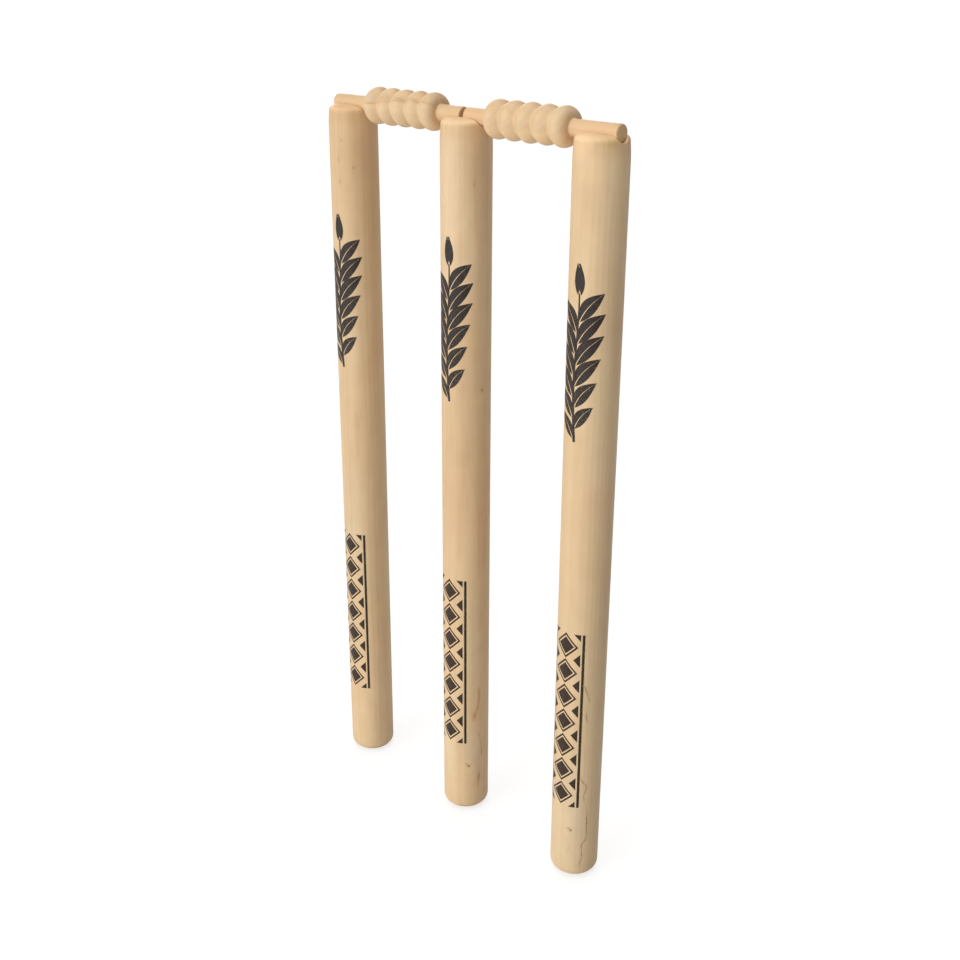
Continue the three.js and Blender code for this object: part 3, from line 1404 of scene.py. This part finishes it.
@dataclass(frozen=True)
class BailShape:
    """The sizes that every bail is turned to, in millimetres, from its inner end to its outer."""

    spigot_radius: float = 5.6
    spigot_rings: int = 3
    end_ring: float = 2.4
    end_ease: float = 1.0
    ease_steps: int = 4
    bead_radius: float = 13.1
    bead_length: float = 14.36
    bead_count: int = 5
    bead_steps: int = 10
    valley_radius: float = 8.8
    valley_round: float = 0.10
    rim_radius: float = 6.4
    barrel_start: float = 22.55
    cove_length: float = 1.2
    cove_steps: int = 5
    length: float = 133.15
    sides: int = 96
    unevenness: float = 0.18
    uneven_start: float = 0.5  # where in the noise the beads' unevenness is read
    uneven_step: float = 3.7  # and how far on for each next bead
    seam_gap: float = 0.02
    soft_reach: float = 0.5  # how near to a valley a point is smoothed
    soft_margin: float = 0.2  # and how far past the barrel's ends

    @property
    def barrel_end(self) -> float:
        """Where the barrel ends."""
        return self.barrel_start + self.bead_length * self.bead_count

    def half_bead(self, middle: float, reach: float, grow: float, last: bool) -> list[Point]:
        """Half of a bead, from its crown outwards, without the crown.

        Args:
            middle: where along the bail its crown is.
            reach: how far on the other end of the half is, below 0 towards the inner end.
            grow: how much the crown's radius departs from the plan.
            last: whether it ends the barrel, and comes round to the spigot, or ends in a valley.

        Returns:
            Its points.
        """
        low = self.rim_radius if last else self.valley_radius
        rise = self.bead_radius + grow - low
        points = []
        for step in range(1, self.bead_steps + 1):
            turn = QUARTER_TURN * step / self.bead_steps
            fall = 1.0 - math.hypot(1.0 - math.sin(turn), self.valley_round)
            share = math.cos(turn) if last else 1.0 - fall * fall
            points.append((low + rise * share, middle + reach * math.sin(turn)))
        return points

    def bead(self, number: int, grow: float) -> list[Point]:
        """One bead.

        Args:
            number: which bead it is, counted from the inner end.
            grow: how much its radius departs from the plan.

        Returns:
            Its points, from its inner end to its outer.
        """
        reach = self.bead_length / 2
        middle = self.barrel_start + reach * (2 * number + 1)
        inner = self.half_bead(middle, -reach, grow, number == 0)
        outer = self.half_bead(middle, reach, grow, number == self.bead_count - 1)
        return [*inner[::-1], (self.bead_radius + grow, middle), *outer]

    def spigot(self, end: float, start: float) -> list[Point]:
        """One spigot, from its end, whose edge is eased, to its other end.

        Args:
            end: where along the bail its end face is.
            start: where the cove starts.

        Returns:
            Its points, from the middle of its end face.
        """
        inward = 1.0 if start > end else -1.0
        radius, ease = self.spigot_radius, self.end_ease
        edge = arc((radius - ease, 0.0), (ease, ease), -90, 0, self.ease_steps)
        eased = [(across, end + inward * (ease + along)) for across, along in edge]
        gap = (start - end) / (self.spigot_rings + 1)
        rings = [(radius, end + gap * step) for step in range(1, self.spigot_rings + 1)]
        return [(0.0, end), (self.end_ring, end), *eased, *rings]

    def outline(self, seed: float) -> list[Point]:
        """The whole outline.

        Args:
            seed: what sets this bail's unevenness apart from others.

        Returns:
            The points from the inner end to the outer.
        """
        inner, outer = self.barrel_start - self.cove_length, self.barrel_end + self.cove_length
        half = (self.rim_radius - self.spigot_radius, self.cove_length)
        points = self.spigot(0.0, inner)
        points += arc((self.rim_radius, inner), half, 180, 90, self.cove_steps)
        for number in range(self.bead_count):
            spot = Vector((seed, number * self.uneven_step, self.uneven_start))
            points += self.bead(number, noise.noise(spot) * self.unevenness)[1:]
        points += arc((self.rim_radius, outer), half, 270, 180, self.cove_steps)[1:]
        return points + self.spigot(self.length, outer)[::-1]

    def turned(self, seed: float) -> Turning:
        """Turn a bail.

        Args:
            seed: what sets this bail's unevenness apart from others.

        Returns:
            The bail, standing on its inner end at the origin.
        """
        turning = Turning(self.outline(seed), self.sides)
        turning.tidy(self.seam_gap)
        valleys = [self.barrel_start + self.bead_length * number for number in range(self.bead_count + 1)]
        start, end = self.barrel_start - self.soft_margin, self.barrel_end + self.soft_margin
        smooth(turning.mesh, [
            spot for spot in turning.mesh.verts
            if min(abs(spot.co.z - valley) for valley in valleys) < self.soft_reach
            and start < spot.co.z < end
        ])
        return turning


@dataclass
class Bail:
    """One bail: which stumps it lies across, its wood, and the flaws and wear on it."""

    side: Side
    wood: WoodFinish
    shape: BailShape = field(default_factory=BailShape)
    blushes: tuple[Blush, ...] = ()
    heart_line: HeartLine | None = None
    checks: tuple[Check, ...] = ()
    end_tint: Colour = (0.93, 0.90, 0.82)
    end_fade: Point = (0.25, 0.9)
    spigot_tint: Colour = (0.97, 0.92, 0.88)
    spigot_before: float = 2.5  # how far before the barrel's ends the spigots' tint starts to fade
    spigot_past: float = 2.0  # and how far past them it has gone
    valley_tint: Colour = (0.94, 0.91, 0.87)
    valley_reach: float = 2.2
    underside: Point = (-1.5, 3.5)

    @property
    def node(self) -> str:
        """The name of the CAD node that this bail stands for."""
        return f"{self.side.value}_bail"

    def inner_end(self) -> Vector:
        """The middle of the end over the middle stump.

        Returns:
            The point, in millimetres.
        """
        low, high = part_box(self.node)
        near = low.x if abs(low.x) < abs(high.x) else high.x
        return Vector((near, (low.y + high.y) / 2, (low.z + high.z) / 2)) * PER_METRE

    def build(self) -> bpy.types.Object:
        """Make the bail's mesh and lay it in its place.

        Returns:
            The bail.
        """
        turning = self.shape.turned(self.wood.seed)
        turning.lie_down(self.inner_end(), self.side is Side.LEG)
        piece = turning.finished(f"turned_{self.side.value}_bail")
        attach(piece, self.node)
        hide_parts(self.node)
        return piece

    def spigots(self, w: Wiring, along: Field) -> Field:
        """Where the two spigots are.

        Args:
            w: the material's wiring.
            along: how far a point is from the inner end, in millimetres.

        Returns:
            1 on the spigots and 0 on the barrel.
        """
        start, end = self.shape.barrel_start, self.shape.barrel_end
        inner = 1.0 - w.ramp(along, start - self.spigot_before, start + self.spigot_past)
        return inner + w.ramp(along, end - self.spigot_past, end + self.spigot_before)

    def soiled(self, w: Wiring, along: Field, rise: Field) -> Field:
        """Where soil has gathered: low in the valleys between the beads.

        Args:
            w: the material's wiring.
            along: how far a point is from the inner end, in millimetres.
            rise: how high it is over the bail's axis.

        Returns:
            1 in the bottom of such a valley, and 0 away from it.
        """
        length, count = self.shape.bead_length, self.shape.bead_count
        beads = (along - self.shape.barrel_start) / length
        aside = (0.5 - abs(w.math("FRACT", beads) - 0.5)) * length
        between = w.math("GREATER_THAN", beads, 0.5) * w.math("LESS_THAN", beads, count - 0.5)
        under = 1.0 - w.ramp(rise, *self.underside)
        return (1.0 - w.ramp(aside, 0.0, self.valley_reach)) * under * between

    def dress(self, piece: bpy.types.Object, effects: Effects) -> None:
        """Give the bail its wood and flaws.

        Args:
            piece: the bail.
            effects: the node groups.
        """
        name, inner_end = f"{self.side.value} bail wood", self.inner_end()
        turn, centre = Vector((0, QUARTER_TURN, 0)), Vector((inner_end.z, 0, 0))
        material = WoodMaterial(name, self.wood, effects, turn, centre)
        w = material.wiring
        rise, back, out = w.parts(material.place)
        radius = self.shape.bead_radius
        chart = Chart(w.math("ARCTAN2", rise, back * -1.0) * radius, abs(out) - abs(inner_end.x), radius)
        ends = w.lowest(chart.along, self.shape.length - chart.along)
        material.handle(0.0, 1.0 - w.ramp(ends, *self.end_fade), self.end_tint)
        material.tint(self.spigots(w, chart.along), self.spigot_tint)
        material.tint(self.soiled(w, chart.along, rise), self.valley_tint)
        material.blush(self.blushes, chart)
        if self.heart_line:
            material.two_tone(self.heart_line, chart)
            material.crack(self.heart_line.check, chart)
        for check in self.checks:
            material.crack(check, chart)
        piece.data.materials.append(material.close())


# The stage: floor, lights, backdrop and camera


def direction(azimuth: float, elevation: float) -> Vector:
    """The way from the wicket towards something that stands or hangs round it.

    Args:
        azimuth: how far round it is from the front, in degrees, towards +X.
        elevation: how high it is, in degrees.

    Returns:
        A vector with a length of 1.
    """
    turn, rise = math.radians(azimuth), math.radians(elevation)
    level = math.cos(rise)
    return Vector((math.sin(turn) * level, -math.cos(turn) * level, math.sin(rise)))


@dataclass(frozen=True)
class Lamp:
    """A far, broad light: where it hangs round the wicket, how high, how strong and how broad it is."""

    name: str
    azimuth: float
    elevation: float
    strength: float
    spread: float = 40.0

    def hang(self) -> None:
        """Hang the light."""
        lamp = bpy.data.lights.new(self.name, "SUN")
        lamp.energy = self.strength
        lamp.angle = math.radians(self.spread)
        hung = placed(self.name, lamp)
        hung.location = direction(self.azimuth, self.elevation)
        hung.rotation_euler = hung.location.to_track_quat("Z", "Y").to_euler()


@dataclass(frozen=True)
class Studio:
    """A plain pale floor, broad lights round it, and a little even light from all sides."""

    lamps: tuple[Lamp, ...] = (
        Lamp("front light", 0.0, 8.0, 2.03),
        Lamp("left light", -30.0, 8.0, 0.96),
        Lamp("overhead light", 0.0, 88.0, 1.74),
        Lamp("back light", 170.0, 30.0, 0.30),
        Lamp("rear left light", 230.0, 10.0, 1.2),
    )
    ambient: float = 0.04
    floor_size: float = 60.0
    floor_tone: float = 0.80
    floor_seen: float = 0.32  # the tone that the camera sees, on top of the glow
    floor_glow: float = 0.76
    floor_roughness: float = 0.9
    backdrop: Colour = (1.0, 1.0, 1.0)

    def floor(self) -> None:
        """Lay the floor. It looks as pale as the backdrop, with the pieces' soft shadows on it."""
        mesh = bmesh.new()
        bmesh.ops.create_grid(mesh, x_segments=1, y_segments=1, size=self.floor_size)
        floor = placed("floor", kept(mesh, "floor"))
        material = bpy.data.materials.new("pale floor")
        material.use_nodes = True
        w = Wiring(material.node_tree)
        w.tree.nodes.clear()
        seen = Field(w, w.node("NodeLightPath", {}).outputs["Is Camera Ray"])
        tone = self.floor_tone + seen * (self.floor_seen - self.floor_tone)
        w.show(w.node("NodeBsdfPrincipled", {
            "Base Color": w.combined(tone, tone, tone), "Roughness": self.floor_roughness,
            "Specular IOR Level": 0.0, "Emission Color": opaque(self.backdrop),
            "Emission Strength": seen * self.floor_glow,
        }))
        floor.data.materials.append(material)

    def surround(self) -> None:
        """Set the even light all round, in front of a plain backdrop."""
        world = bpy.data.worlds.new("studio")
        world.use_nodes = True
        w = Wiring(world.node_tree)
        w.tree.nodes.clear()
        seen = Field(w, w.node("NodeLightPath", {}).outputs["Is Camera Ray"])
        strength = seen * (1.0 - self.ambient) + self.ambient
        sky = w.node("NodeBackground", {"Color": opaque(self.backdrop), "Strength": strength})
        w.show(sky, "NodeOutputWorld")
        bpy.context.scene.world = world

    def set_up(self) -> None:
        """Put up the whole stage, and show its colours as they are."""
        self.floor()
        for lamp in self.lamps:
            lamp.hang()
        self.surround()
        bpy.context.scene.view_settings.view_transform = "Standard"


@dataclass(frozen=True)
class Viewpoint:
    """The camera: where it stands round the wicket, what it aims at, in millimetres, and its lens."""

    azimuth: float = 44.51
    elevation: float = 22.207
    roll: float = 0.267
    distance: float = 944.76
    target: tuple[float, float, float] = (14.62, 0.0, 293.93)
    focal_pixels: float = 1260.735
    frame_pixels: float = 960.0
    sensor: float = 36.0
    nearest: float = 0.01  # what the camera sees lies between these two, in metres
    farthest: float = 200.0

    def set_up(self) -> None:
        """Put up the camera."""
        back, roll = direction(self.azimuth, self.elevation), math.radians(self.roll)
        flat = direction(self.azimuth + 90.0, 0.0)
        right = flat * math.cos(roll) + back.cross(flat) * math.sin(roll)
        lens = bpy.data.cameras.new("camera")
        lens.sensor_width = self.sensor
        lens.lens = self.focal_pixels / self.frame_pixels * self.sensor
        lens.clip_start, lens.clip_end = self.nearest, self.farthest
        camera = placed("camera", lens)
        camera.matrix_world = Matrix((right, back.cross(right), back)).transposed().to_4x4()
        camera.location = (Vector(self.target) + back * self.distance) * MM
        bpy.context.scene.camera = camera


# The wicket: the pieces with the wood and flaws of each


def stumps() -> list[Stump]:
    """The three stumps, each with its own wood and flaws.

    Returns:
        The stumps.
    """
    fleck = ((0.66, 0.50, 0.38), (0.90, 0.80, 0.72))
    return [
        Stump(
            Place.OFF,
            WoodFinish(seed=2.0, pith=(34.0, -52.0, 0.0)),
            blushes=(
                Blush(50.0, 535.0, 34.0, 80.0, (0.93, 0.88, 0.835)),
                Blush(98.0, 430.0, 13.0, 150.0, (1.04, 0.98, 0.91)),
                Blush(5.0, 310.0, 7.0, 85.0, (0.96, 0.935, 0.925)),
                Blush(5.0, 225.0, 17.0, 60.0, (0.97, 1.01, 1.07)),
                Blush(60.0, 55.0, 26.0, 110.0, (1.035, 1.065, 1.085)),
                Blush(108.0, 90.0, 11.0, 110.0, (1.04, 1.05, 1.03)),
                Blush(106.0, 240.0, 9.0, 250.0, (1.05, 1.05, 1.05)),
                Blush(50.0, 160.0, 9.0, 40.0, (0.965, 1.005, 1.01)),
                Blush(-140.0, 300.0, 12.0, 120.0, (0.95, 0.92, 0.89)),
                Blush(150.0, 470.0, 12.0, 90.0, (1.03, 1.05, 1.07)),
            ),
            knots=(
                Knot(149.0, 402.0, 1.5, 2.2, 0.55, *fleck),
                Knot(-128.0, 186.0, 1.2, 1.4, 0.80),
                Knot(-66.0, 333.0, 1.1, 1.8, 0.45, *fleck),
                Knot(19.8, 531.5, 1.5, 1.3, 0.34, *fleck),
                Knot(8.7, 517.5, 0.7, 2.6, 0.50, *fleck),
                Knot(47.6, 511.8, 1.4, 1.6, 0.40, *fleck),
                Knot(11.0, 501.5, 1.5, 1.6, 0.36, *fleck),
            ),
            checks=(
                Check(((-152.0, 104.0), (-149.0, 84.0), (-153.0, 61.0), (-150.0, 38.0)), 0.36, 0.6),
            ),
        ),
        Stump(
            Place.MIDDLE,
            WoodFinish(seed=5.0, pith=(-47.0, 38.0, 0.0)),
            blushes=(
                Blush(-8.0, 505.0, 16.0, 55.0, (1.045, 1.11, 1.21)),
                Blush(62.0, 462.0, 13.0, 48.0, (1.02, 1.06, 1.12)),
                Blush(80.0, 530.0, 9.0, 45.0, (0.93, 0.92, 0.94)),
                Blush(12.0, 310.0, 17.0, 105.0, (0.945, 0.90, 0.88)),
                Blush(98.0, 262.0, 11.0, 115.0, (0.955, 0.87, 0.79)),
                Blush(-12.0, 62.0, 10.0, 62.0, (1.06, 1.12, 1.18)),
                Blush(64.0, 56.0, 8.0, 22.0, (0.97, 1.02, 1.11)),
                Blush(86.0, 92.0, 5.5, 17.0, (0.99, 0.93, 0.84)),
                Blush(66.5, 91.0, 3.4, 7.0, (0.90, 0.80, 0.67)),
                Blush(80.0, 32.0, 2.6, 3.4, (0.93, 0.89, 0.82)),
                Blush(60.0, 152.0, 10.0, 50.0, (0.955, 1.01, 1.03)),
                Blush(-120.0, 150.0, 13.0, 110.0, (0.955, 0.92, 0.89)),
                Blush(148.0, 395.0, 12.0, 100.0, (1.03, 1.05, 1.06)),
            ),
            knots=(
                Knot(157.0, 288.0, 1.4, 1.6, 0.80),
                Knot(150.5, 290.5, 1.8, 1.0, 0.30),
                Knot(-112.0, 452.0, 1.0, 2.2, 0.50, *fleck),
                Knot(52.0, 44.2, 1.3, 1.4, 0.85),
                Knot(46.5, 46.2, 1.6, 0.9, 0.35),
                Knot(62.6, 513.5, 1.1, 1.9, 0.36, *fleck),
                Knot(84.0, 366.0, 1.7, 1.7, 0.60, (0.62, 0.46, 0.34), (0.88, 0.78, 0.68)),
            ),
            checks=(
                Check(
                    ((80.0, 119.0), (79.5, 106.0), (76.5, 99.5), (72.0, 94.5), (63.0, 87.0)),
                    1.25, 0.68, (0.80, 0.68, 0.53), (0.86, 0.74, 0.60),
                ),
                Check(
                    ((71.0, 77.5), (78.0, 73.5), (84.0, 68.0), (88.5, 60.0), (90.0, 50.0)),
                    1.0, 0.85, (0.74, 0.68, 0.54), (0.88, 0.83, 0.72),
                ),
                Check(((84.0, 41.0), (79.0, 31.0), (77.0, 20.0)), 0.6, 0.5, (0.68, 0.56, 0.44)),
                Check(((136.0, 522.0), (139.0, 498.0), (134.0, 474.0)), 0.4, 0.45),
            ),
        ),
        Stump(
            Place.LEG,
            WoodFinish(seed=9.0, pith=(22.0, 61.0, 0.0), contrast=0.40),
            blushes=(
                Blush(12.0, 532.0, 9.0, 42.0, (0.975, 0.94, 0.91)),
                Blush(66.0, 515.0, 11.0, 50.0, (1.045, 1.10, 1.14)),
                Blush(99.0, 436.0, 10.0, 40.0, (0.93, 0.87, 0.83)),
                Blush(58.0, 375.0, 10.0, 80.0, (1.02, 1.05, 1.07)),
                Blush(102.0, 240.0, 11.0, 165.0, (0.92, 0.895, 0.845)),
                Blush(15.0, 48.0, 26.0, 66.0, (1.01, 1.06, 1.12)),
                Blush(45.0, 50.0, 6.0, 18.0, (0.96, 0.97, 1.05)),
                Blush(78.0, 62.0, 5.0, 28.0, (0.96, 0.96, 0.90)),
                Blush(48.0, 534.0, 24.0, 14.0, (1.06, 1.06, 1.06)),
                Blush(62.0, 552.5, 12.0, 5.5, (0.89, 0.84, 0.70)),
                Blush(-6.0, 549.0, 9.0, 10.0, (1.17, 1.17, 1.22)),
                Blush(58.0, 165.0, 9.0, 45.0, (0.965, 1.01, 1.01)),
                Blush(-132.0, 420.0, 13.0, 110.0, (0.95, 0.91, 0.88)),
                Blush(144.0, 250.0, 12.0, 120.0, (1.02, 1.05, 1.07)),
            ),
            knots=(
                Knot(28.6, 45.0, 1.2, 1.3, 0.85),
                Knot(23.0, 46.4, 1.7, 1.0, 0.35),
                Knot(-134.0, 372.0, 1.4, 1.7, 0.70),
                Knot(142.0, 132.0, 1.1, 1.3, 0.80),
            ),
            checks=(
                Check(
                    (
                        (46.0, 95.0), (50.5, 90.8), (54.7, 88.2), (63.0, 84.6), (61.6, 80.9), (58.0, 75.7),
                        (59.4, 71.4), (64.4, 66.9), (66.4, 62.6), (67.6, 52.7), (68.4, 38.5), (61.0, 33.4),
                        (56.5, 31.6), (57.1, 25.8), (57.8, 20.0), (54.5, 15.2), (53.0, 9.6),
                    ),
                    0.36, 0.80,
                ),
                Check(((47.5, 181.0), (50.0, 171.0), (55.0, 165.5), (59.0, 161.5), (64.0, 156.0)), 0.6, 0.75),
                Check(((52.5, 156.0), (54.5, 149.0), (58.5, 139.0)), 0.6, 0.6),
                Check(((29.7, 33.5), (26.3, 28.3), (17.4, 20.2)), 0.6, 0.30),
                Check(
                    ((-118.0, 118.0), (-121.0, 96.0), (-116.0, 72.0), (-119.0, 44.0), (-117.0, 20.0)),
                    0.36, 0.7,
                ),
            ),
        ),
    ]


def bails() -> list[Bail]:
    """The two bails, each with its own wood and flaws.

    Returns:
        The bails.
    """
    wood = functools.partial(WoodFinish, light=(0.845, 0.635, 0.385), dark=(0.680, 0.465, 0.265), spacing=2.4)
    faint = ((0.84, 0.72, 0.58), (0.92, 0.84, 0.74))
    line = ((30.0, 18.0), (34.0, 38.0), (31.5, 50.0), (26.0, 63.0), (14.5, 78.0), (10.5, 92.0))
    return [
        Bail(
            Side.OFF,
            wood(seed=14.0, pith=(9.0, -16.0, 0.0), contrast=0.26),
            blushes=(
                Blush(95.0, 60.0, 9.0, 62.0, (1.10, 1.08, 1.10)),
                Blush(68.0, 60.0, 7.0, 46.0, (1.16, 1.16, 1.11)),
                Blush(32.0, 87.0, 5.4, 8.5, (1.02, 1.09, 1.21)),
                Blush(2.0, 62.0, 5.5, 42.0, (1.05, 1.06, 1.05)),
                Blush(-140.0, 66.0, 8.0, 30.0, (0.96, 0.93, 0.90)),
            ),
            heart_line=HeartLine(Check(line, 0.42, 0.7, (0.84, 0.72, 0.58), (0.90, 0.82, 0.72))),
            checks=(
                Check(
                    ((43.0, 34.0), (40.0, 48.0), (35.0, 62.0)),
                    0.5, 0.6, (0.88, 0.74, 0.58), (0.95, 0.85, 0.75),
                ),
                Check(((150.0, 30.0), (153.0, 52.0), (147.0, 74.0)), 0.4, 0.6, *faint),
            ),
        ),
        Bail(
            Side.LEG,
            wood(seed=19.0, pith=(-12.0, 11.0, 0.0), contrast=0.32),
            shape=BailShape(valley_radius=9.15, valley_round=0.11),
            blushes=(
                Blush(95.0, 60.0, 9.0, 62.0, (1.13, 1.11, 1.10)),
                Blush(30.0, 58.0, 8.0, 40.0, (0.995, 0.975, 0.94)),
                Blush(48.0, 27.0, 3.5, 5.0, (0.99, 0.95, 0.92)),
                Blush(30.0, 40.0, 4.0, 6.0, (0.98, 1.0, 1.04)),
                Blush(-20.0, 56.0, 4.0, 7.0, (0.97, 0.94, 0.93)),
                Blush(-35.0, 72.0, 6.0, 12.0, (1.05, 1.04, 1.0)),
                Blush(-24.0, 114.0, 5.0, 22.0, (1.13, 1.13, 1.13)),
                Blush(-32.0, 58.0, 6.0, 42.0, (1.06, 1.07, 1.06)),
                Blush(55.0, 114.0, 4.0, 17.0, (1.06, 1.06, 1.06)),
                Blush(148.0, 52.0, 8.0, 26.0, (0.97, 0.94, 0.91)),
            ),
            checks=(
                Check(((-128.0, 42.0), (-125.0, 61.0), (-130.0, 84.0)), 0.4, 0.6, *faint),
            ),
        ),
    ]


def main() -> None:
    """Build the set of stumps, its stage and its camera."""
    logging.basicConfig(level=logging.INFO, format="%(name)s: %(message)s")
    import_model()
    effects = Effects()
    for item in [*stumps(), *bails()]:
        piece = item.build()
        item.dress(piece, effects)
        LOG.info("%s: %d faces, rides on %s", piece.name, len(piece.data.polygons), item.node)
    Studio().set_up()
    Viewpoint().set_up()
    bpy.context.view_layer.update()


if __name__ == "__main__":
    main()
